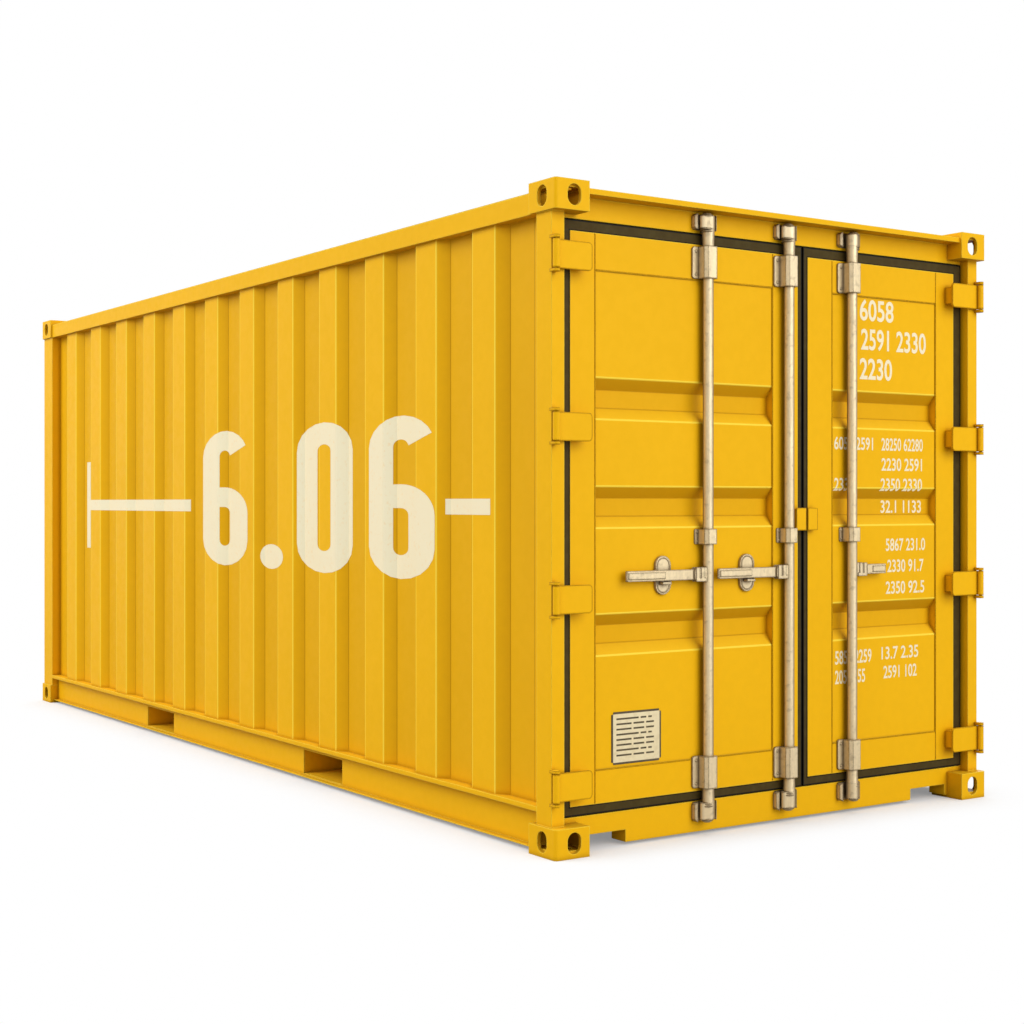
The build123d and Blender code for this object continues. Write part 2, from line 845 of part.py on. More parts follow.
def write_container():
    rods = list(rod_positions)
    wall = side_wall()
    write("bottom_corner_castings", casting_set(False))
    write("top_corner_castings", casting_set(True))
    write("door_corner_posts", both_sides(door_post()))
    write("front_corner_posts", both_sides(front_post()))
    write("top_side_rails", both_sides(top_side_rail()))
    write("bottom_side_rails", both_sides(bottom_side_rail()))
    write("door_header", door_header())
    write("door_sill", door_sill())
    write("front_header", front_header())
    write("front_sill", front_sill())
    write("left_side_wall", wall)
    write("right_side_wall", mirror(wall, about=Plane.XZ))
    write("front_wall", front_wall())
    write("roof_panel", roof_panel())
    write("plywood_floor", plywood_floor())
    write("cross_members", cross_members())
    write("fork_pockets", [fork_pocket(side * pocket_spacing / 2) for side in (-1, 1)])
    write("left_hinge_lugs", hinge_lugs(-1))
    write("right_hinge_lugs", hinge_lugs(1))
    write("header_keepers", [keeper(name, top_cap_base, rod_top) for name in rods])
    write("sill_keepers", [keeper(name, rod_bottom, bottom_cap_top - keeper_margin) for name in rods])


def write_door(name, side, rods):
    hinge_edge = side * (half_width - leaf_edge_inset)
    seam_edge = seam_position + side * (seam_gap / 2 + seam_gasket)
    panel_face = leaf_face + panel_recess
    guides = [rod_guide(rod, leaf_face if rod == "middle" else panel_face) for rod in rods]
    write(f"{name}_door_frame", door_frame(hinge_edge, seam_edge))
    write(f"{name}_door_panel", door_panel(hinge_edge, seam_edge))
    write(f"{name}_door_gasket", door_gasket(hinge_edge, seam_edge))
    write(f"{name}_door_hinges", [hinge_leaf(level, side) for level in hinge_levels])
    write(f"{name}_rod_bearings", rod_bearings(rods))
    write(f"{name}_rod_guides", guides)
    write(f"{name}_seam_plate", seam_plate(side))


def main():
    os.makedirs("parts", exist_ok=True)
    write_container()
    write_door("left", -1, ["outer", "middle"])
    write_door("right", 1, ["right"])
    write("handle_catches", [handle_catch(name) for name in catch_centres])
    for name in rod_positions:
        write(f"{name}_lock_rod", lock_rod(name))
        write(f"{name}_handle", lock_handle(name))


main()
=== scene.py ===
"""Finishes a corrugated steel container: paint, lock gear, seals, floor, welds, markings and a studio."""

import math

import bmesh
import bpy
from bpy.props import FloatProperty, FloatVectorProperty, PointerProperty, StringProperty
from mathutils import Matrix, Vector


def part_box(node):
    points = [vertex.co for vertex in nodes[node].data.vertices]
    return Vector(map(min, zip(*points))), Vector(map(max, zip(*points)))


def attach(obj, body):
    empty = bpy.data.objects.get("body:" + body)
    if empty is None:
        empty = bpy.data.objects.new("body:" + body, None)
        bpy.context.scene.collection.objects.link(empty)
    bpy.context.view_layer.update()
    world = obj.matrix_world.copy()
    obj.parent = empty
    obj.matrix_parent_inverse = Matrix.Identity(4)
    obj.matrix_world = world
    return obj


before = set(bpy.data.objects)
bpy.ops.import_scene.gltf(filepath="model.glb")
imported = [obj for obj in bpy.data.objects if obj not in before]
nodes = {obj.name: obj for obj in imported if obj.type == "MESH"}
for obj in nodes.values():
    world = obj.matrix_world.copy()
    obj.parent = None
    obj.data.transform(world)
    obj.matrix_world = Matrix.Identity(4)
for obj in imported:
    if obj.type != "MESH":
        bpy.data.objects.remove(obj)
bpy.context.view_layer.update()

bl_info = {
    "name": "Container Finisher",
    "version": (1, 0, 0),
    "blender": (4, 5, 0),
    "location": "View3D > Sidebar > Container",
    "description": "Finishes a corrugated steel container and sets up a studio around it",
    "category": "Object",
}


# Settings


def colour_setting(name, description, default):
    limits = {"min": 0.0, "max": 1.0}
    return FloatVectorProperty(name=name, description=description, subtype="COLOR", default=default, **limits)


def length_setting(name, description, default, least=0.0):
    return FloatProperty(name=name, description=description, unit="LENGTH", default=default, min=least)


def share_setting(name, description, default, least=0.0, most=1.0):
    limits = {"min": least, "max": most}
    return FloatProperty(name=name, description=description, subtype="FACTOR", default=default, **limits)


class PaintSettings(bpy.types.PropertyGroup):
    """The container's yellow paint."""

    coat: colour_setting("Coat", "Colour of the paint", (0.90, 0.485, 0.006))
    # Painted light: edge colours the painted highlights on outer edges and the painted light on faces turned
    # up
    edge: colour_setting("Edge", "Colour of the lighter coat over an outer edge", (1.0, 0.76, 0.07))
    # Painted shade: corner colours the painted shade in corners, on faces turned down, in sunk parts and as
    # dark outlines, and also the coat's random darker tone
    corner: colour_setting("Corner", "Colour of the darker coat in a corner", (0.33, 0.14, 0.002))
    # Edge width also sets the painted shade lines at inner folds; corner reach sets how far painted shade
    # reaches out of a corner
    edge_width: length_setting("Edge width", "Width of the lighter line beside an outer edge", 0.005)
    corner_reach: length_setting("Corner reach", "Reach of the darker coat out of a corner", 0.03, 0.001)
    sunk_shade: share_setting("Sunk shade", "How much darker the sunk parts of a folded sheet are", 0.17)
    roughness: share_setting("Roughness", "Mean roughness of the paint", 0.42)


class GearSettings(bpy.types.PropertyGroup):
    """The galvanised lock gear and the door seals."""

    zinc: colour_setting("Zinc", "Colour of the galvanised steel", (0.85, 0.69, 0.42))
    # Tarnish darkens the zinc's random streaks and spots, and is also the colour of its painted shade and
    # painted dark outlines
    tarnish_and_shade: colour_setting("Tarnish", "Colour of the zinc in its corners", (0.13, 0.08, 0.035))
    metallic: share_setting("Metallic", "How metallic the weathered zinc looks", 0.35)
    seal: colour_setting("Seal", "Colour of the door seals", (0.056, 0.036, 0.006))
    # The dark lines at the edges are painted shade
    line_width: length_setting("Line width", "Width of the dark lines at the edges", 0.008, 0.0005)
    rivet_radius: length_setting("Rivet radius", "Radius of the rivet heads on the lock gear", 0.0065)


class HoldSettings(bpy.types.PropertyGroup):
    """The plywood floor and the coated steel under it."""

    wood: colour_setting("Plywood", "Colour of the plywood's face veneer", (0.42, 0.25, 0.12))
    underside: colour_setting("Underside", "Colour of the coat on the cross members", (0.055, 0.045, 0.035))
    board_length: length_setting("Board length", "Length of a plywood board", 1.22, 0.1)
    screw_radius: length_setting("Screw radius", "Radius of the floor's screw heads", 0.007, 0.001)


class MarkSettings(bpy.types.PropertyGroup):
    """The numerals and bars painted on the side and the door."""

    ink: colour_setting("Marking paint", "Colour of the marking paint", (0.91, 0.80, 0.54))
    # A painted light that evens out the shade of the side's slopes
    slope_painted_light_ink: colour_setting("Slope paint", "Colour of the paint on the side's slopes", (1.0, 0.94, 0.68))
    lift: length_setting("Lift", "How far the marking paint stands off the sheet", 0.0006, 0.0001)
    side_numerals: StringProperty(
        name="Side numerals", description="Numerals on the side, of the signs 0, 6 and point", default="6.06"
    )
    numeral_height: length_setting("Numeral height", "Height of the numerals on the side", 0.72, 0.1)
    numeral_width: length_setting("Numeral width", "Width of one numeral on the side", 0.575, 0.1)
    stroke: length_setting("Stroke", "Height of the numerals' level strokes", 0.105, 0.01)
    widening: share_setting("Widening", "Width of upright strokes to the level ones'", 2.1, 0.5, 4.0)
    bar_height: length_setting("Bar height", "Height of the bars on the side", 0.066, 0.001)


class StudioSettings(bpy.types.PropertyGroup):
    """The camera and the lights."""

    lens: FloatProperty(name="Lens", description="Focal length", unit="CAMERA", min=1.0, default=57.31)
    place: FloatVectorProperty(
        name="Place", description="Camera's place", subtype="TRANSLATION", default=(8.0443, -4.7986, 1.3605)
    )
    sight: FloatVectorProperty(
        name="Sight", description="Way the camera looks", subtype="DIRECTION", default=(-0.8291, 0.5591, 0.0)
    )
    shift: FloatProperty(name="Shift", description="Picture's upward shift", subtype="FACTOR", default=-0.01)
    key: FloatProperty(name="Key", description="Power that the lamps share out", min=0.0, default=2600.0)
    sky: FloatProperty(name="Sky", description="Strength of the even light", min=0.0, default=0.52)
    shade_reach: length_setting("Shade reach", "Reach of the floor's shade round the container", 0.4, 0.01)
    floor_size: length_setting("Floor size", "Width of the studio floor", 60.0, 10.0)


# Shader maths


class Signal:
    """A shader socket whose arithmetic adds Math nodes."""

    def __init__(self, shader, socket):
        self.shader = shader
        self.socket = socket

    def maths(self, operation, *values):
        inputs = dict(enumerate(values))
        return self.shader.node("ShaderNodeMath", {"operation": operation}, inputs)

    def __add__(self, other):
        return self.maths("ADD", self, other)

    def __radd__(self, other):
        return self.maths("ADD", other, self)

    def __sub__(self, other):
        return self.maths("SUBTRACT", self, other)

    def __rsub__(self, other):
        return self.maths("SUBTRACT", other, self)

    def __mul__(self, other):
        return self.maths("MULTIPLY", self, other)

    def __rmul__(self, other):
        return self.maths("MULTIPLY", other, self)

    def __truediv__(self, other):
        return self.maths("DIVIDE", self, other)

    def __rtruediv__(self, other):
        return self.maths("DIVIDE", other, self)

    def __mod__(self, other):
        return self.maths("FLOORED_MODULO", self, other)

    def __abs__(self):
        return self.maths("ABSOLUTE", self)

    def least(self, other):
        return self.maths("MINIMUM", self, other)

    def most(self, other):
        return self.maths("MAXIMUM", self, other)

    def between(self, low, high, to_low=0.0, to_high=1.0):
        """The signal eased from one range to another."""
        settings = {"interpolation_type": "SMOOTHSTEP"}
        inputs = {"Value": self, "From Min": low, "From Max": high, "To Min": to_low, "To Max": to_high}
        return self.shader.node("ShaderNodeMapRange", settings, inputs)


class Graph:
    """A node tree to which nodes are added with their settings and links."""

    def __init__(self, tree):
        self.tree = tree

    def node(self, kind, settings=None, inputs=None, output=0):
        """Adds a node: its settings first, then the values or links of its sockets."""
        node = self.tree.nodes.new(kind)
        for key, value in (settings or {}).items():
            setattr(node, key, value)
        for key, value in (inputs or {}).items():
            if isinstance(value, Signal):
                self.tree.links.new(value.socket, node.inputs[key])
            else:
                node.inputs[key].default_value = value
        return Signal(self, node.outputs[output] if node.outputs else None)


class Shader(Graph):
    """A material's nodes, ending in one Principled surface."""

    def __init__(self, name):
        self.material = bpy.data.materials.new(name)
        self.material.use_nodes = True
        super().__init__(self.material.node_tree)
        self.surface = self.tree.nodes["Principled BSDF"]
        self.place = self.node("ShaderNodeTexCoord", output="Object")

    def axes(self, vector=None):
        """The three parts of a vector, the place by default."""
        split = self.node("ShaderNodeSeparateXYZ", None, {0: vector or self.place})
        return [Signal(self, socket) for socket in split.socket.node.outputs]

    def stretched(self, scale):
        """The place, scaled along each axis."""
        inputs = {0: self.place, 1: scale}
        return self.node("ShaderNodeVectorMath", {"operation": "MULTIPLY"}, inputs)

    def noise(self, scale, detail=2.0, vector=None):
        inputs = {"Vector": vector or self.place, "Scale": scale, "Detail": detail}
        return self.node("ShaderNodeTexNoise", None, inputs)

    def facing(self):
        """The three parts of the surface's direction."""
        return self.axes(self.node("ShaderNodeNewGeometry", output="Normal"))

    def rounded(self, radius):
        """The surface's direction as if its sharp edges were rounded."""
        return self.node("ShaderNodeBevel", {"samples": 4}, {"Radius": radius})

    def sharpness(self, rounded):
        """Zero on a flat face, rising beside a sharp edge."""
        true = self.node("ShaderNodeNewGeometry", output="Normal")
        inputs = {0: true, 1: rounded}
        return 1.0 - self.node("ShaderNodeVectorMath", {"operation": "DOT_PRODUCT"}, inputs, "Value")

    def openness(self, reach):
        """One in the open, falling to zero in a corner."""
        return self.node("ShaderNodeAmbientOcclusion", {"samples": 8}, {"Distance": reach}, "AO")

    def mix(self, factor, first, second):
        def solid(value):
            return value if isinstance(value, Signal) else (*value, 1.0)

        inputs = {0: factor, 6: solid(first), 7: solid(second)}
        return self.node("ShaderNodeMix", {"data_type": "RGBA"}, inputs, 2)

    def bump(self, height, distance, normal=None):
        inputs = {"Distance": distance, "Height": height}
        return self.node("ShaderNodeBump", None, inputs | ({"Normal": normal} if normal else {}))

    def finish(self, constants, **varied):
        """Sets the surface's constants and links what varies over it."""
        for key, value in constants.items():
            self.surface.inputs[key].default_value = value
        for key, value in varied.items():
            self.tree.links.new(value.socket, self.surface.inputs[key.replace("_", " ")])
        return self.material


def nearest(along, places):
    """Distance from a coordinate to the nearest of some places."""
    distances = [abs(along - place) for place in places]
    result = distances[0]
    for distance in distances[1:]:
        result = result.least(distance)
    return result


def repeated(along, start, pitch, offsets):
    """Distance to the nearest of a row of places that repeats at a pitch."""
    return nearest((along - start) % pitch, [*offsets, pitch + offsets[0]])


# Reading the sheets


def fold_line(name, along, across, outward):
    """The outer line of a folded sheet: across for each fold's place along."""
    line = {}
    for vertex in nodes[name].data.vertices:
        key = round(vertex.co[along], 4)
        value = vertex.co[across]
        if key not in line or outward * value > outward * line[key]:
            line[key] = value
    return sorted(line.items())


def crest(line, outward):
    """How far out a fold line reaches."""
    return outward * max(outward * value for _, value in line)


def edges_of(line, outward):
    """Places of the outer edges and of the inner edges of a fold line."""
    top, near = crest(line, outward), 0.0005
    outer = [place for place, value in line if abs(value - top) < near]
    inner = [place for place, value in line[1:-1] if abs(value - top) >= near]
    return outer, inner


def height_on(line, place):
    """The sheet's outer surface at a place along its folds."""
    if place <= line[0][0]:
        return line[0][1]
    for (start, low), (end, high) in zip(line, line[1:]):
        if place <= end:
            return low + (high - low) * (place - start) / (end - start)
    return line[-1][1]


# Materials


def paint(name, outer=None, inner=None, sunk=None, outlined=False, corner_shade=0.55, hollow=0.0):
    """Yellow paint with painted shade in corners and painted highlights on edges, or painted dark outlines
    where outlined.

    For a folded sheet, outer and inner give the distance to its folds, and sunk its depth as a share.
    Hollow is the reach within which the inside of a box is darkened with painted shade.
    """
    settings = bpy.context.scene.container_paint
    shader = Shader(name)
    broad = shader.noise(1.3, 2.0)
    cloudy = shader.noise(24.0, 3.0)
    tone = broad.between(0.3, 0.7, 0.0, 0.05) + cloudy.between(0.35, 0.65, 0.0, 0.03)
    colour = shader.mix(tone, settings.coat, settings.corner)
    # Painted light and shade: faces turned up are lighter and faces turned down darker, as if lit from above
    upward = shader.facing()[2]
    colour = shader.mix(upward.between(0.2, 0.8, 0.0, 0.15), colour, settings.edge)
    shade = upward.between(-0.8, -0.2, 0.55, 0.0)
    # Painted shade out of corners, from occlusion; it also fades the painted highlights there
    corner = shader.openness(settings.corner_reach).between(0.4, 0.95, corner_shade, 0.0)
    shade = shade.most(corner)
    # Painted shade inside a hollow box, from occlusion
    if hollow:
        shade = shade.most(shader.openness(hollow).between(0.15, 0.5, 0.9, 0.0))
    # Painted shade on the sunk parts of a folded sheet, by depth
    if sunk is not None:
        colour = shader.mix(sunk(shader) * settings.sunk_shade, colour, settings.corner)
    # Painted shade lines along the inner folds
    if inner is not None:
        shade = shade.most(inner(shader).between(0.0, settings.edge_width, 0.5, 0.0))
    colour = shader.mix(shade, colour, settings.corner)
    # Painted highlights beside sharp or outer edges, or painted dark outlines where outlined, fading in
    # corners
    rounded = None
    if outer is None:
        rounded = shader.rounded(settings.edge_width * (2.0 if outlined else 1.2))
        beside = shader.sharpness(rounded).between(0.008, 0.09)
    else:
        beside = outer(shader).between(settings.edge_width * 0.5, settings.edge_width, 1.0, 0.0)
    strength, line = (0.95, settings.corner) if outlined else (0.9, settings.edge)
    colour = shader.mix(beside * (strength - corner * strength), colour, line)
    peel = shader.noise(420.0, 1.0)
    waves = shader.noise(5.0, 1.0)
    rough = peel.between(0.3, 0.7, -0.04, 0.04) + (cloudy.between(0.3, 0.7, -0.05, 0.05) + settings.roughness)
    relief = shader.bump(peel * 0.15 + waves, 0.0012, rounded)
    constants = {"Specular IOR Level": 0.06}
    return shader.finish(constants, Base_Color=colour, Roughness=rough, Normal=relief)


def zinc(name):
    settings = bpy.context.scene.container_gear
    shader = Shader(name)
    spangle = shader.node("ShaderNodeTexVoronoi", None, {"Vector": shader.place, "Scale": 70.0})
    streak = shader.noise(9.0, 3.0, shader.stretched((9.0, 9.0, 1.0)))
    smudge = shader.noise(38.0, 3.0)
    # Painted shade in the creases, from occlusion
    crease_shade = shader.openness(0.03).between(0.3, 0.95, 0.92, 0.0)
    clean = shader.mix(streak.between(0.35, 0.7, 0.0, 0.12), settings.zinc, settings.tarnish_and_shade)
    colour = shader.mix(spangle.between(0.0, 0.7, 0.0, 0.08), clean, settings.tarnish_and_shade)
    colour = shader.mix(smudge.between(0.54, 0.72, 0.0, 0.28), colour, settings.tarnish_and_shade)
    x, y, z = shader.facing()
    # Painted shade: faces turned down, creases, and faces turned well towards or away from this level
    # direction are darker
    shade_facing = x * 0.56 + y * 0.83
    sides = shade_facing.between(0.5, 0.95, 0.0, 0.75).most(shade_facing.between(-1.0, -0.75, 0.8, 0.0))
    colour = shader.mix(z.between(-0.8, -0.1, 0.6, 0.0).most(crease_shade).most(sides), colour, settings.tarnish_and_shade)
    # Painted shade as dark outlines along sharp edges
    rounded = shader.rounded(settings.line_width)
    outline = shader.sharpness(rounded).between(0.008, 0.08, 0.0, 0.95)
    colour = shader.mix(outline, colour, settings.tarnish_and_shade)
    rough = streak.between(0.3, 0.7, 0.34, 0.5)
    pits = shader.noise(240.0, 2.0)
    relief = shader.bump(pits, 0.0006, rounded)
    constants = {"Metallic": settings.metallic}
    return shader.finish(constants, Base_Color=colour, Roughness=rough, Normal=relief)


def rubber(name, outside, inside):
    """Dark rubber between two upright rectangles, with painted shade making it blackest beside the steel."""
    settings = bpy.context.scene.container_gear
    shader = Shader(name)
    _, y, z = shader.axes()
    borders = []
    for (y0, y1), (z0, z1) in (outside, inside):
        borders.append(abs((y - y0).least(y1 - y).least((z - z0).least(z1 - z))))
    bloom = shader.noise(30.0, 3.0).between(0.4, 0.75, 0.0, 0.3)
    colour = shader.mix(bloom, settings.seal, (0.10, 0.075, 0.02))
    border = borders[0].least(borders[1])
    # Painted shade: near-black lines along the steel's edges
    edge = border.between(settings.line_width * 0.45, settings.line_width * 0.75, 0.92, 0.0)
    colour = shader.mix(edge, colour, (0.002, 0.002, 0.002))
    rough = shader.noise(120.0, 2.0).between(0.3, 0.7, 0.6, 0.75)
    relief = shader.bump(shader.noise(600.0, 2.0), 0.0004)
    return shader.finish({"Specular IOR Level": 0.15}, Base_Color=colour, Roughness=rough, Normal=relief)


def plywood(name):
    settings = bpy.context.scene.container_hold
    shader = Shader(name)
    x, y, z = shader.axes()
    grain = shader.noise(26.0, 4.0, shader.stretched((0.12, 1.0, 1.0)))
    rings = shader.noise(3.0, 2.0, shader.stretched((0.25, 1.6, 1.0)))
    bands = abs((rings * 18.0) % 2.0 - 1.0)
    figure = grain.between(0.3, 0.7, 0.0, 0.5) + bands * 0.25
    dark = tuple(channel * 0.42 for channel in settings.wood)
    colour = shader.mix(figure, settings.wood, dark)
    board_sides = [-0.6, 0.0, 0.6]
    seam = repeated(x, 0.0, settings.board_length, [0.0]).least(nearest(y, board_sides))
    joint = seam.between(0.001, 0.003, 0.9, 0.0)
    plies = (z * 260.0) % 1.0
    layered = plies.between(0.4, 0.6, 0.0, 0.5) * (1.0 - abs(shader.facing()[2]))
    colour = shader.mix(layered, colour, dark)
    colour = shader.mix(joint, colour, (0.02, 0.012, 0.006))
    rough = grain.between(0.3, 0.7, 0.5, 0.7)
    relief = shader.bump(grain * 0.3 - joint, 0.001)
    return shader.finish({}, Base_Color=colour, Roughness=rough, Normal=relief)


def underside_coat(name):
    settings = bpy.context.scene.container_hold
    shader = Shader(name)
    lumps = shader.noise(60.0, 4.0)
    dust = shader.noise(4.0, 3.0).between(0.45, 0.75, 0.0, 0.4)
    colour = shader.mix(dust, settings.underside, (0.16, 0.13, 0.09))
    # Painted shade in corners, from occlusion
    colour = shader.mix(shader.openness(0.05).between(0.2, 0.9, 0.7, 0.0), colour, (0.01, 0.009, 0.008))
    rough = lumps.between(0.3, 0.7, 0.6, 0.85)
    relief = shader.bump(lumps, 0.002)
    return shader.finish({}, Base_Color=colour, Roughness=rough, Normal=relief)


def marking_paint(name):
    settings = bpy.context.scene.container_marks
    shader = Shader(name)
    thin = shader.noise(55.0, 3.0).between(0.55, 0.8, 0.0, 0.22)
    yellow = bpy.context.scene.container_paint.coat
    # Painted light: the paint on slopes facing the end is lighter, evening out their shade
    endward = shader.facing()[0]
    slope = endward.between(0.3, 0.5) * endward.between(0.8, 0.9, 1.0, 0.0)
    ink = shader.mix(slope, settings.ink, settings.slope_painted_light_ink)
    colour = shader.mix(thin, ink, yellow)
    # Painted shade in the markings' corners, from occlusion
    colour = shader.mix(shader.openness(0.05).between(0.2, 1.0, 0.15, 0.0), colour, (0.5, 0.33, 0.10))
    rough = shader.noise(180.0, 2.0).between(0.3, 0.7, 0.45, 0.6)
    relief = shader.bump(shader.noise(420.0, 1.0), 0.0003)
    return shader.finish({"Specular IOR Level": 0.3}, Base_Color=colour, Roughness=rough, Normal=relief)


def plate_metal(name, light, dark, roughness):
    shader = Shader(name)
    wear = shader.noise(45.0, 4.0)
    colour = shader.mix(wear.between(0.4, 0.75, 0.0, 0.5), light, dark)
    rough = wear.between(0.3, 0.7, roughness - 0.08, roughness + 0.08)
    relief = shader.bump(shader.noise(300.0, 2.0), 0.0003)
    return shader.finish({"Metallic": 0.2}, Base_Color=colour, Roughness=rough, Normal=relief)


# Mesh helpers


def placed(name, data):
    """A new object in the scene."""
    item = bpy.data.objects.new(name, data)
    bpy.context.scene.collection.objects.link(item)
    return item


def baked(bm, name):
    """The finished mesh of what was drawn."""
    mesh = bpy.data.meshes.new(name)
    bm.normal_update()
    bm.to_mesh(mesh)
    bm.free()
    return mesh


def merge(bm, part):
    """Adds one drawn part to another."""
    mesh = baked(part, "part")
    bm.from_mesh(mesh)
    bpy.data.meshes.remove(mesh)


def piece(name, bm, material, body):
    """Adds a finished object that rides on a body."""
    item = placed(name, baked(bm, name))
    item.data.materials.append(material)
    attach(item, body)


def dress(names, material):
    """Gives CAD nodes a material."""
    for name in names:
        slots = nodes[name].data.materials
        slots.clear()
        slots.append(material)


def skin(bm, rings):
    """Joins each ring of points to the next with smooth faces."""
    for lower, upper in zip(rings, rings[1:]):
        for side in range(len(lower)):
            after = (side + 1) % len(lower)
            bm.faces.new((lower[side], lower[after], upper[after], upper[side])).smooth = True


def dome(bm, centre, axis, radius, height, sides=10):
    """A low round head that stands on a face."""
    turn = Vector((0, 0, 1)).rotation_difference(Vector(axis)).to_matrix().to_4x4()
    # Level and width of each ring, as shares of the height and the radius
    profile = ((-0.15, 1.0), (0.45, 0.94), (0.85, 0.66))
    rings = []
    for level, share in profile:
        circle = bmesh.ops.create_circle(bm, segments=sides, radius=radius * share)["verts"]
        bmesh.ops.translate(bm, verts=circle, vec=(0, 0, height * level))
        rings.append(circle)
    skin(bm, rings)
    crown = bm.verts.new((0, 0, height))
    for side in range(sides):
        bm.faces.new((rings[-1][side], rings[-1][(side + 1) % sides], crown)).smooth = True
    everything = [vertex for ring in rings for vertex in ring] + [crown]
    bmesh.ops.transform(bm, matrix=Matrix.Translation(centre) @ turn, verts=everything)


def bead(bm, start, end, radius, sides=6):
    """A weld run between two points, with low ripples."""
    start, end = Vector(start), Vector(end)
    axis = end - start
    steps = max(2, int(axis.length / (radius * 1.6)))
    turn = Vector((0, 0, 1)).rotation_difference(axis).to_matrix().to_4x4()
    rings = []
    for step in range(steps + 1):
        swell = 0.4 if step in (0, steps) else 1.0 if step % 2 else 0.82
        ring = bmesh.ops.create_circle(bm, segments=sides, radius=radius * swell)["verts"]
        centre = start + axis * (step / steps)
        bmesh.ops.transform(bm, matrix=Matrix.Translation(centre) @ turn, verts=ring)
        rings.append(ring)
    skin(bm, rings)


def tube(bm, path, normal, radius, sides=6):
    """A closed round bar along a flat loop whose plane has the given normal."""
    normal = Vector(normal)
    turns = [2 * math.pi * side / sides for side in range(sides)]
    rings = []
    for index, point in enumerate(path):
        along = (Vector(path[(index + 1) % len(path)]) - Vector(path[index - 1])).normalized()
        across = along.cross(normal)
        spots = [Vector(point) + radius * (math.cos(a) * across - math.sin(a) * normal) for a in turns]
        rings.append([bm.verts.new(spot) for spot in spots])
    skin(bm, rings + rings[:1])


def block(low, high):
    """A plain box between two corners."""
    part = bmesh.new()
    bmesh.ops.create_cube(part, size=1.0)
    for vertex in part.verts:
        vertex.co = [a + (b - a) * (c + 0.5) for a, b, c in zip(low, high, vertex.co)]
    return part


def slab(bm, low, high, bevel):
    """Adds a box with its edges bevelled."""
    part = block(low, high)
    bmesh.ops.bevel(part, geom=part.edges[:], offset=bevel, segments=1, affect="EDGES")
    merge(bm, part)


def panel_of(bm, u0, u1, v0, v1, spot):
    """A flat rectangle; spot turns its two coordinates into a place."""
    corners = [bm.verts.new(spot(u, v)) for u, v in ((u0, v0), (u1, v0), (u1, v1), (u0, v1))]
    return bm.faces.new(corners)


def cut_at(bm, place, direction, **options):
    """Cuts a mesh with a plane."""
    everything = bm.verts[:] + bm.edges[:] + bm.faces[:]
    bmesh.ops.bisect_plane(bm, geom=everything, plane_co=place, plane_no=direction, dist=1e-6, **options)


def lay_on(bm, line, lift):
    """Cuts a flat marking at a door panel's folds and lays it on the panel."""
    for place, _ in line:
        cut_at(bm, (0, 0, place), (0, 0, 1))
    for vertex in bm.verts:
        vertex.co.x = height_on(line, vertex.co.z) + lift


def cast_on(flat, line, lift, sight):
    """Casts a flat marking from a point onto the left side's folds that can be seen from it."""
    plane = crest(line, -1)

    def seen_at(place, value):
        return sight.x + (place - sight.x) * (plane - sight.y) / (value - sight.y)

    result = bmesh.new()
    limit = math.inf
    for first, second in reversed(list(zip(line, line[1:]))):
        start, stop = seen_at(*first), min(seen_at(*second), limit)
        if start >= stop:
            continue
        limit = start
        part = flat.copy()
        for place, side in ((start, -1), (stop, 1)):
            cut_at(part, (place, 0, 0), (side, 0, 0), clear_outer=True)
        run, rise = second[0] - first[0], second[1] - first[1]
        towards = (first[0] - sight.x) * rise - (first[1] - sight.y) * run
        for vertex in part.verts:
            ray = Vector((vertex.co.x, plane, vertex.co.z)) - sight
            vertex.co = sight + ray * towards / (ray.x * rise - ray.y * run)
            vertex.co.y -= lift
        merge(result, part)
    flat.free()
    return result


def arc(centre, radii, start, end, steps=10):
    """Points on an ellipse between two angles in degrees."""
    angles = [math.radians(start + (end - start) * step / steps) for step in range(steps + 1)]
    return [(centre[0] + radii[0] * math.cos(a), centre[1] + radii[1] * math.sin(a)) for a in angles]


def ribbon(bm, path, stroke, closed, spot):
    """A flat band of even width along a path."""
    count = len(path)
    rails = []
    for index, point in enumerate(path):
        before = path[index - 1] if closed or index else point
        after = path[(index + 1) % count] if closed or index < count - 1 else point
        across = Vector((before[1] - after[1], after[0] - before[0])).normalized() * stroke / 2
        rails.append([bm.verts.new(spot(point[0] + s * across.x, point[1] + s * across.y)) for s in (1, -1)])
    for index in range(count if closed else count - 1):
        here, there = rails[index], rails[(index + 1) % count]
        bm.faces.new((here[1], there[1], there[0], here[0]))


def add_stroke_numerals(bm, text, start, base, marks, spot):
    """The signs 0, 6 and point, drawn as even strokes and widened."""
    stroke = marks.stroke
    bend = marks.numeral_width / marks.widening / 2 - stroke / 2
    low, high = base + stroke / 2 + bend, base + marks.numeral_height - stroke / 2 - bend
    waist = base + marks.numeral_height * 0.58 - stroke / 2 - bend
    gap = stroke * 0.7
    radii = (bend, bend)
    left = 0.0

    def widened(u, v):
        return spot(start + marks.widening * u, v)

    for sign in text:
        if sign == ".":
            disc = arc((left + stroke * 0.6, base + stroke * 0.6), (stroke * 0.6, stroke * 0.6), 0, 360, 24)
            bm.faces.new([bm.verts.new(widened(u, v)) for u, v in disc[:-1]])
            left += stroke * 1.2 + gap
            continue
        middle = left + stroke / 2 + bend
        if sign == "0":
            path = arc((middle, high), radii, 0, 180) + arc((middle, low), radii, 180, 360)
            ribbon(bm, path, stroke, True, widened)
        else:
            path = arc((middle, high), radii, 20, 180) + arc((middle, low), radii, 180, 360)
            path += arc((middle, waist), radii, 0, 90)
            ribbon(bm, path + [(left + stroke, waist + bend)], stroke, False, widened)
        left += 2 * bend + stroke + gap


def extent(points):
    """The lowest and the highest corner of some points."""
    return [Vector([limit(point[axis] for point in points) for axis in range(3)]) for limit in (min, max)]


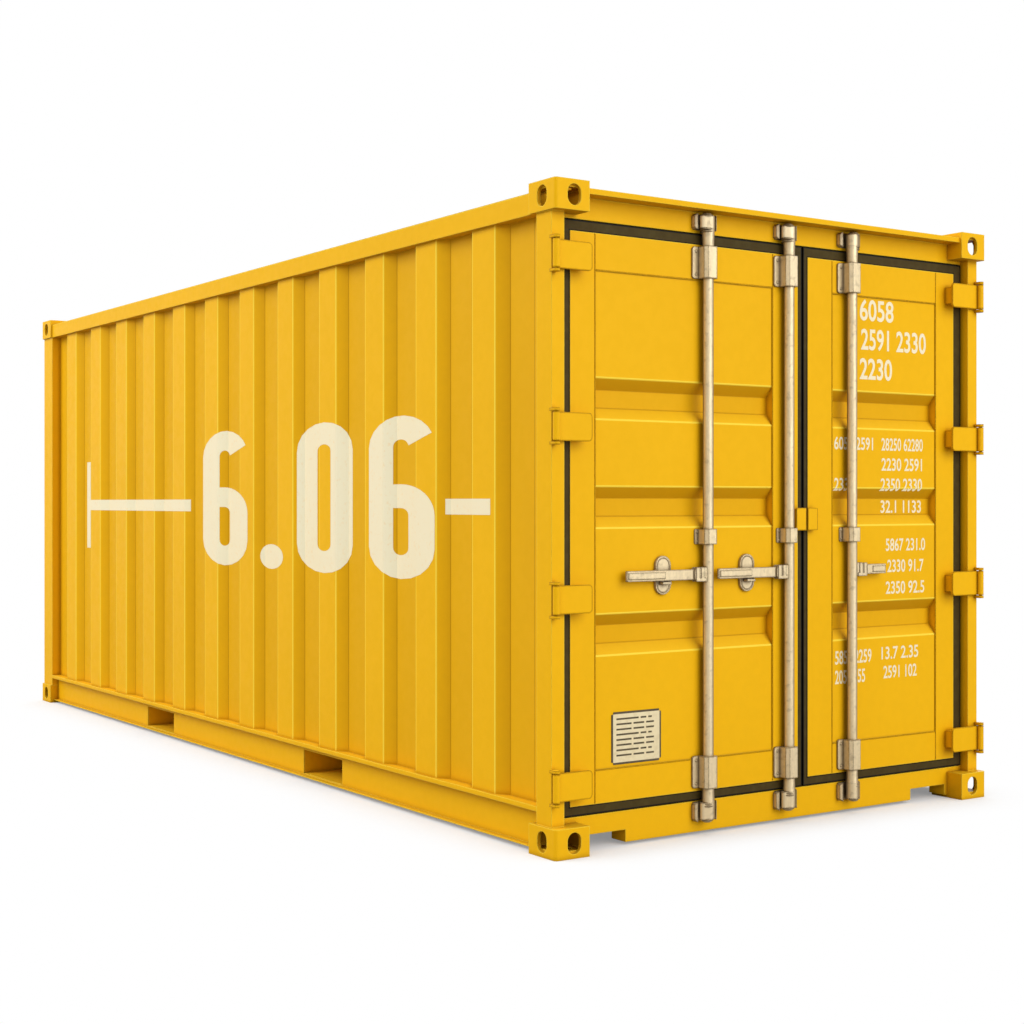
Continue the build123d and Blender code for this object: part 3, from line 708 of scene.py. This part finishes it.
def add_numerals(bm, text, weight, across, up, spot):
    """Plain numerals fitted between two limits across and two limits up."""
    curve = bpy.data.curves.new("numerals", "FONT")
    curve.body = text
    curve.offset = weight
    curve.resolution_u = 6
    holder = placed("numerals", curve)
    bpy.context.view_layer.update()
    mesh = bpy.data.meshes.new_from_object(holder)
    bpy.data.objects.remove(holder)
    bpy.data.curves.remove(curve)
    low, high = extent([vertex.co for vertex in mesh.vertices])
    corners = []
    for vertex in mesh.vertices:
        u = across[0] + (across[1] - across[0]) * (vertex.co.x - low.x) / (high.x - low.x)
        v = up[0] + (up[1] - up[0]) * (vertex.co.y - low.y) / (high.y - low.y)
        corners.append(bm.verts.new(spot(u, v)))
    for polygon in mesh.polygons:
        bm.faces.new([corners[index] for index in polygon.vertices])
    bpy.data.meshes.remove(mesh)


# Operators


class ContainerPaint(bpy.types.Operator):
    """Paint the frame, walls, roof and doors"""

    bl_idname = "container.paint"
    bl_label = "Paint the Steel"

    def execute(self, context):
        self.paint_folds(["left_side_wall", "right_side_wall"], "side_wall_paint", 0, 1, -1)
        self.paint_folds(["front_wall"], "front_wall_paint", 1, 0, -1)
        for door in ("left", "right"):
            self.paint_folds([f"{door}_door_panel"], f"{door}_door_panel_paint", 2, 0, 1)
        # The header gets weaker painted shade in corners, the castings painted shade inside, and the fittings
        # painted dark outlines
        coats = (
            (("posts", "rails", "sill", "door_frame", "roof_panel", "fork_pockets"), paint("frame_paint")),
            (("header",), paint("header_paint", corner_shade=0.15)),
            (("castings",), paint("casting_paint", hollow=0.15)),
            (("lugs", "hinges", "seam_plate"), paint("fitting_paint", outlined=True)),
        )
        for endings, coat in coats:
            dress([name for name in nodes if name.endswith(endings)], coat)
        return {"FINISHED"}

    def paint_folds(self, names, material_name, along, across, outward):
        """Paints sheets that are folded alike."""
        line = fold_line(names[0], along, across, outward)
        outer, inner = edges_of(line, outward)
        levels = [abs(value) for _, value in line]

        # Distance to the outer folds, which sets the painted highlights
        def outer_edges(shader):
            return self.fold_distance(shader, along, outer)

        # Distance to the inner folds and the panel's border, which sets painted shade lines
        def inner_edges(shader):
            distance = self.fold_distance(shader, along, inner)
            if along == 2:
                low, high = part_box(names[0])
                _, y, z = shader.axes()
                border = nearest(y, [low[1], high[1]]).least(nearest(z, [low[2], high[2]]))
                distance = distance.least(border * 0.5)
            return distance

        # The sheet's depth as a share, which sets the painted shade of its sunk parts
        def sunk(shader):
            return (max(levels) - abs(shader.axes()[across])) / (max(levels) - min(levels))

        dress(names, paint(material_name, outer=outer_edges, inner=inner_edges, sunk=sunk))

    def fold_distance(self, shader, along, places):
        """Distance to the nearest fold, from the folds' repeat where there are many alike."""
        few, near = 6, 0.002
        coordinate = shader.axes()[along]
        pitch = places[2] - places[0]
        even = all(abs(b - a - pitch) < near for a, b in zip(places, places[2:]))
        if len(places) > few and even:
            return repeated(coordinate, places[0], pitch, [0.0, places[1] - places[0]])
        return nearest(coordinate, places)


class ContainerLockGear(bpy.types.Operator):
    """Finish the lock rods, handles, bearings and keepers"""

    bl_idname = "container.lock_gear"
    bl_label = "Finish the Lock Gear"

    def execute(self, context):
        finish = zinc("galvanised_steel")
        gear = ("lock_rod", "_handle", "keepers", "bearings", "guides", "handle_catches")
        dress([name for name in nodes if name.endswith(gear)], finish)
        radius = context.scene.container_gear.rivet_radius
        for door in ("left", "right"):
            bm = bmesh.new()
            for name, reach in ((f"{door}_rod_bearings", 0.018), (f"{door}_rod_guides", 0.012)):
                for low, high in self.solids(name):
                    plate = self.plate_face(name, low, high)
                    for z in (low.z + reach, high.z - reach):
                        dome(bm, (plate, low.y + reach, z), (1, 0, 0), radius, radius * 0.6)
            piece(f"{door}_lock_rivets", bm, finish, f"{door}_door")
        for rod in ("outer", "middle", "right"):
            self.collars(f"{rod}_lock_rod", finish)
            self.grip(f"{rod}_handle", finish)
        self.catch_rims(finish)
        return {"FINISHED"}

    def collars(self, rod, finish):
        """Rings round the necks of a rod and crowns on its ends."""
        low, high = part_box(rod)
        rings = ((0.006, 0.026), (0.060, 0.026), (0.069, 0.025))
        thickness, sides = 0.003, 28
        crown_radius, crown_height = 0.0216, 0.008
        neck_bottom, neck_top = 0.13, 0.14
        middle = (low[0] + high[0]) / 2
        neck = [v.co.y for v in nodes[rod].data.vertices if neck_bottom < v.co.z < neck_top]
        axis = (min(neck) + max(neck)) / 2
        bm = bmesh.new()
        for rise, radius in rings:
            for z in (low[2] + rise, high[2] - rise):
                loop = [(u, v, z) for u, v in arc((middle, axis), (radius, radius), 0, 360, sides)[:-1]]
                tube(bm, loop, (0, 0, 1), thickness)
        for z, side in ((low[2], -1), (high[2], 1)):
            dome(bm, (middle, axis, z), (0, 0, side), crown_radius, crown_height, 20)
        piece(f"{rod}_collars", bm, finish, rod)

    def grip(self, handle, finish):
        """A raised pad along the outer half of a handle."""
        low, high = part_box(handle)
        margin, height, bevel = 0.007, 0.003, 0.002
        middle = (low[1] + high[1]) / 2
        tip = high[1] if handle == "right_handle" else low[1]
        near, far = sorted((tip + math.copysign(margin, middle - tip), middle))
        bm = bmesh.new()
        bottom, top = (high[0] - height, near, low[2] + margin), (high[0] + height, far, high[2] - margin)
        slab(bm, bottom, top, bevel)
        piece(f"{handle}_grip", bm, finish, handle)

    def catch_rims(self, finish):
        """Raised rims on the oval plates behind the handles."""
        margin, thickness = 0.008, 0.003
        bm = bmesh.new()
        for low, high in self.solids("handle_catches"):
            plate = self.plate_face("handle_catches", low, high)
            y, half = (low.y + high.y) / 2, (high.y - low.y) / 2 - margin
            bottom, top = low.z + margin + half, high.z - margin - half
            loop = arc((y, top), (half, half), 0, 180, 8) + arc((y, bottom), (half, half), 180, 360, 8)
            tube(bm, [(plate, u, v) for u, v in loop], (1, 0, 0), thickness)
        piece("catch_rims", bm, finish, "left_door")

    def solids(self, name):
        """The box of each solid of a node, told apart by touching faces."""
        bm = bmesh.new()
        bm.from_mesh(nodes[name].data)
        bmesh.ops.remove_doubles(bm, verts=bm.verts, dist=1e-5)
        left = set(bm.verts)
        boxes = []
        while left:
            group, border = set(), [left.pop()]
            while border:
                vertex = border.pop()
                group.add(vertex)
                for edge in vertex.link_edges:
                    other = edge.other_vert(vertex)
                    if other in left:
                        left.remove(other)
                        border.append(other)
            boxes.append(extent([vertex.co.copy() for vertex in group]))
        bm.free()
        return boxes

    def plate_face(self, name, low, high):
        """The front of the flange at the solid's edge."""
        points = [vertex.co for vertex in nodes[name].data.vertices]
        return max(p.x for p in points if abs(p.y - low.y) < 0.001 and low.z <= p.z <= high.z)


class ContainerSeals(bpy.types.Operator):
    """Finish the rubber seals of both doors"""

    bl_idname = "container.seals"
    bl_label = "Finish the Seals"

    def execute(self, context):
        for door in ("left", "right"):
            name = f"{door}_door_gasket"
            outside, inside = [], []
            for low, high, axis in zip(*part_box(name), range(3)):
                values = [vertex.co[axis] for vertex in nodes[name].data.vertices]
                middle = (low + high) / 2
                outside.append((low, high))
                inside.append((max(v for v in values if v <= middle), min(v for v in values if v >= middle)))
            dress([name], rubber(f"{door}_door_rubber", outside[1:], inside[1:]))
        return {"FINISHED"}


class ContainerHold(bpy.types.Operator):
    """Finish the floor with its screws, and the underside"""

    bl_idname = "container.hold"
    bl_label = "Finish the Floor and Underside"

    def execute(self, context):
        settings = context.scene.container_hold
        dress(["plywood_floor"], plywood("oiled_plywood"))
        dress(["cross_members"], underside_coat("underside_coat"))
        low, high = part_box("plywood_floor")
        members = sorted({round(v.co.x, 3) for v in nodes["cross_members"].data.vertices})
        flange, head_height = 0.045, 0.001
        starts = [x for x in members if any(abs(x + flange - other) < 0.002 for other in members)]
        bm = bmesh.new()
        rows, margin = 9, 0.05
        spacing = (high[1] - low[1] - 2 * margin) / (rows - 1)
        for x in starts:
            for row in range(rows):
                spot = (x + flange / 2, low[1] + margin + row * spacing, high[2])
                dome(bm, spot, (0, 0, 1), settings.screw_radius, head_height)
        steel = plate_metal("screw_steel", (0.35, 0.32, 0.28), (0.12, 0.08, 0.05), 0.45)
        piece("floor_screws", bm, steel, "container")
        return {"FINISHED"}


class ContainerWelds(bpy.types.Operator):
    """Run welds round the posts and rails, and seams round the door panels"""

    bl_idname = "container.welds"
    bl_label = "Lay the Welds"

    def execute(self, context):
        radius, post_face, rail_top = 0.0035, 0.060, 0.060
        bm = bmesh.new()
        low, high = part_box("door_corner_posts")
        front_low, front_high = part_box("front_corner_posts")
        posts = ((low[0], high[0]), (front_high[0], front_low[0]))
        levels = (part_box("bottom_corner_castings")[1][2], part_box("top_corner_castings")[0][2])
        rail_low, rail_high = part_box("top_side_rails")
        for side in (-1, 1):
            outer, inner = side * high[1], side * (high[1] - post_face)
            for z in levels:
                for back, face in posts:
                    bead(bm, (back, outer, z), (face, outer, z), radius)
                    bead(bm, (face, outer, z), (face, inner, z), radius)
            outer, inner = side * rail_high[1], side * (rail_high[1] - rail_top)
            for x in (rail_low[0], rail_high[0]):
                bead(bm, (x, outer, rail_low[2]), (x, outer, rail_high[2]), radius)
                bead(bm, (x, outer, rail_high[2]), (x, inner, rail_high[2]), radius)
        piece("frame_welds", bm, paint("weld_paint"), "container")
        for door in ("left", "right"):
            self.door_seams(door)
        return {"FINISHED"}

    def door_seams(self, door):
        """Raised seams round a door's panel, the upright ones as high as the door."""
        half, height = 0.003, 0.0015
        low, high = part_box(f"{door}_door_frame")
        inner_low, inner_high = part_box(f"{door}_door_panel")
        back, front = high[0] - height, high[0] + height
        bm = bmesh.new()
        for y in (inner_low[1], inner_high[1]):
            slab(bm, (back, y - half, low[2] + half), (front, y + half, high[2] - half), height / 2)
        for z in (inner_low[2], inner_high[2]):
            start, end = inner_low[1] + half, inner_high[1] - half
            slab(bm, (back, start, z - half), (front, end, z + half), height / 2)
        coat = bpy.data.materials["fitting_paint"]
        piece(f"{door}_door_seams", bm, coat, f"{door}_door")


class ContainerSideMarks(bpy.types.Operator):
    """Paint the numerals and measuring bars on the left side"""

    bl_idname = "container.side_marks"
    bl_label = "Mark the Side"

    def execute(self, context):
        settings = context.scene.container_marks
        line = fold_line("left_side_wall", 0, 1, -1)
        coat = marking_paint("marking_paint")
        # The point that the markings are cast from
        sight = Vector((8.04, -4.80, 1.36))
        bar_level, numerals_level = 1.34, 1.38
        tick_start, tick_end, tick_half = -2.21, -2.145, 0.275
        bar_half = settings.bar_height / 2
        bar_ends = ((tick_end, -0.52), (2.19, 2.535))
        numerals_start = -0.35

        def spot(u, v):
            return (u, 0.0, v)

        bars = bmesh.new()
        panel_of(bars, tick_start, tick_end, bar_level - tick_half, bar_level + tick_half, spot)
        for start, end in bar_ends:
            panel_of(bars, start, end, bar_level - bar_half, bar_level + bar_half, spot)
        bars = cast_on(bars, line, settings.lift, sight)
        piece("side_bars", bars, coat, "container")
        numerals = bmesh.new()
        base = numerals_level - settings.numeral_height / 2
        add_stroke_numerals(numerals, settings.side_numerals, numerals_start, base, settings, spot)
        numerals = cast_on(numerals, line, settings.lift, sight)
        piece("side_numerals", numerals, coat, "container")
        return {"FINISHED"}


class ContainerDoorMarks(bpy.types.Operator):
    """Paint plain numbers on the right door"""

    bl_idname = "container.door_marks"
    bl_label = "Mark the Door"

    def execute(self, context):
        settings = context.scene.container_marks
        line = fold_line("right_door_panel", 2, 0, 1)
        coat = bpy.data.materials["marking_paint"]

        def spot(u, v):
            return (0.0, u, v)

        # Weight and height of each size of numerals, and each text's ends and foot
        sizes = (
            (0.018, 0.095, (
                ("6058", 0.487, 0.700, 2.160), ("2591 2330", 0.495, 0.910, 2.030),
                ("2230", 0.487, 0.690, 1.900),
            )),
            (0.016, 0.057, (
                ("28250 62280", 0.623, 0.890, 1.588), ("2230 2591", 0.623, 0.885, 1.498),
                ("2350 2330", 0.618, 0.885, 1.408), ("32.1 1133", 0.655, 0.918, 1.310),
                ("5867 231.0", 0.650, 0.905, 1.140), ("2330 91.7", 0.660, 0.895, 1.045),
                ("2350 92.5", 0.650, 0.900, 0.948), ("13.7 2.35", 0.623, 0.860, 0.657),
                ("2591 102", 0.635, 0.850, 0.572), ("6058 2591", 0.330, 0.570, 1.588),
                ("2330", 0.330, 0.450, 1.408),
            )),
            (0.016, 0.060, (("5853 2259", 0.335, 0.560, 0.650), ("2050 355", 0.335, 0.520, 0.565))),
        )
        bm = bmesh.new()
        for weight, height, rows in sizes:
            for text, left, right, foot in rows:
                add_numerals(bm, text, weight, (left, right), (foot, foot + height), spot)
        lay_on(bm, line, settings.lift)
        piece("door_numbers", bm, coat, "right_door")
        return {"FINISHED"}


class ContainerDataPlate(bpy.types.Operator):
    """Fix a plain ruled plate to the left door"""

    bl_idname = "container.data_plate"
    bl_label = "Fix the Data Plate"

    def execute(self, context):
        y0, y1, z0, z1 = -0.890, -0.640, 0.324, 0.531
        thickness, border, lift = 0.002, 0.008, 0.0003
        corner_radius, corner_steps = 0.010, 3
        dark = plate_metal("plate_rules", (0.07, 0.05, 0.02), (0.16, 0.12, 0.06), 0.5)
        cream = plate_metal("plate_face", (0.80, 0.68, 0.42), (0.62, 0.50, 0.28), 0.45)
        face = height_on(fold_line("left_door_panel", 2, 0, 1), (z0 + z1) / 2)
        plate = block((face, y0, z0), (face + thickness, y1, z1))
        level = [edge for edge in plate.edges if abs(edge.verts[0].co.x - edge.verts[1].co.x) > thickness / 2]
        bmesh.ops.bevel(plate, geom=level, offset=corner_radius, segments=corner_steps, affect="EDGES")
        piece("data_plate", plate, dark, "left_door")
        front = face + thickness + lift

        def spot(u, v):
            return (front, u, v)

        sheet = bmesh.new()
        panel_of(sheet, y0 + border, y1 - border, z0 + border, z1 - border, spot)
        piece("data_plate_face", sheet, cream, "left_door")
        front += lift
        rules = bmesh.new()
        line_count, line_pitch, line_half, gap = 8, 0.0205, 0.0035, 0.010
        first_line, line_start, line_length = z1 - 0.028, y0 + 0.024, y1 - y0 - 0.07
        for index in range(line_count):
            v = first_line - index * line_pitch
            start = line_start
            for share in (0.42, 0.30, 0.22) if index % 3 else (0.62, 0.16, 0.10):
                end = start + share * line_length
                panel_of(rules, start, end, v - line_half, v + line_half, spot)
                start = end + gap
        piece("data_plate_rules", rules, dark, "left_door")
        return {"FINISHED"}


class ContainerStudio(bpy.types.Operator):
    """Set up the floor, lights, background and camera"""

    bl_idname = "container.studio"
    bl_label = "Set Up the Studio"

    # Name, place, size and share of the key power
    lamps = (
        ("key_light", (-9.5, -20.5, 17.0), 20.0, 2.15),
        ("door_light", (25.0, 6.0, 10.5), 24.0, 1.85),
        ("back_light", (-20.0, 22.0, 15.0), 20.0, 0.8),
    )

    def execute(self, context):
        settings = context.scene.container_studio
        self.floor(settings)
        self.world(settings)
        for name, place, size, strength in self.lamps:
            self.lamp(name, place, size, settings.key * strength)
        self.camera(context, settings)
        context.scene.view_settings.view_transform = "Standard"
        return {"FINISHED"}

    def floor(self, settings):
        bm = bmesh.new()
        half = settings.floor_size / 2
        panel_of(bm, -half, half, -half, half, lambda u, v: (u, v, 0.0))
        ground = placed("studio_floor", baked(bm, "studio_floor"))
        shader = Shader("studio_floor")
        mottle = shader.noise(2.0, 2.0)
        colour = shader.mix(mottle, (0.92, 0.92, 0.92), (0.94, 0.94, 0.94))
        shader.finish({"Roughness": 0.9, "Specular IOR Level": 0.1}, Base_Color=colour)
        pale = Signal(shader, shader.surface.outputs[0])
        grey = shader.node("ShaderNodeBsdfDiffuse", None, {"Color": (0.42, 0.42, 0.42, 1.0)})
        glow = shader.node("ShaderNodeEmission", None, {"Color": (1.0, 1.0, 1.0, 1.0)})
        seen = shader.node("ShaderNodeLightPath", output="Is Camera Ray")
        # Near the container the white glow fades with occlusion, a painted shade, and the lit floor with its
        # real shadow shows
        clear = shader.openness(settings.shade_reach).between(0.35, 0.97, 0.25, 1.0)
        seen_floor = shader.node("ShaderNodeMixShader", None, {0: clear, 1: pale, 2: glow})
        both = shader.node("ShaderNodeMixShader", None, {0: seen, 1: grey, 2: seen_floor})
        shader.tree.links.new(both.socket, shader.tree.nodes["Material Output"].inputs["Surface"])
        ground.data.materials.append(shader.material)

    def world(self, settings):
        world = bpy.data.worlds.new("studio_world")
        bpy.context.scene.world = world
        world.use_nodes = True
        world.node_tree.nodes.clear()
        graph = Graph(world.node_tree)
        kinds = ("Is Camera Ray", "Is Glossy Ray", "Is Transmission Ray")
        camera, glossy, through = [graph.node("ShaderNodeLightPath", output=kind) for kind in kinds]
        strength = camera.most(glossy).most(through) * (1.0 - settings.sky) + settings.sky
        inputs = {"Color": (1.0, 1.0, 1.0, 1.0), "Strength": strength}
        background = graph.node("ShaderNodeBackground", None, inputs)
        graph.node("ShaderNodeOutputWorld", None, {"Surface": background})

    def lamp(self, name, place, size, power):
        light = bpy.data.lights.new(name, "AREA")
        light.size = size
        light.energy = power
        lamp = placed(name, light)
        lamp.location = place
        middle = Vector((0.0, 0.0, 1.2))
        lamp.rotation_euler = (middle - lamp.location).to_track_quat("-Z", "Y").to_euler()

    def camera(self, context, settings):
        view = bpy.data.cameras.new("camera")
        view.lens = settings.lens
        view.sensor_width = 36.0
        view.sensor_fit = "HORIZONTAL"
        view.shift_y = settings.shift
        view.clip_end = 200.0
        camera = placed("camera", view)
        camera.location = settings.place
        camera.rotation_euler = Vector(settings.sight).to_track_quat("-Z", "Y").to_euler()
        context.scene.camera = camera


class ContainerPanel(bpy.types.Panel):
    """The container's finishing steps"""

    bl_idname = "VIEW3D_PT_container"
    bl_label = "Container"
    bl_space_type = "VIEW_3D"
    bl_region_type = "UI"
    bl_category = "Container"

    def draw(self, context):
        for group in setting_groups:
            settings = getattr(context.scene, group)
            box = self.layout.box()
            for name in settings.bl_rna.properties.keys():
                if name not in ("rna_type", "name"):
                    box.prop(settings, name)
        for operator in operators:
            self.layout.operator(operator.bl_idname)


setting_groups = {
    "container_paint": PaintSettings,
    "container_gear": GearSettings,
    "container_hold": HoldSettings,
    "container_marks": MarkSettings,
    "container_studio": StudioSettings,
}
operators = [
    ContainerPaint,
    ContainerLockGear,
    ContainerSeals,
    ContainerHold,
    ContainerWelds,
    ContainerSideMarks,
    ContainerDoorMarks,
    ContainerDataPlate,
    ContainerStudio,
]


def register():
    for kind in [*setting_groups.values(), *operators, ContainerPanel]:
        bpy.utils.register_class(kind)
    for name, kind in setting_groups.items():
        setattr(bpy.types.Scene, name, PointerProperty(type=kind))


def unregister():
    for name in setting_groups:
        delattr(bpy.types.Scene, name)
    for kind in [ContainerPanel, *reversed(operators), *reversed(setting_groups.values())]:
        bpy.utils.unregister_class(kind)


def main():
    register()
    for operator in operators:
        group, name = operator.bl_idname.split(".")
        getattr(getattr(bpy.ops, group), name)()


if __name__ == "__main__":
    main()
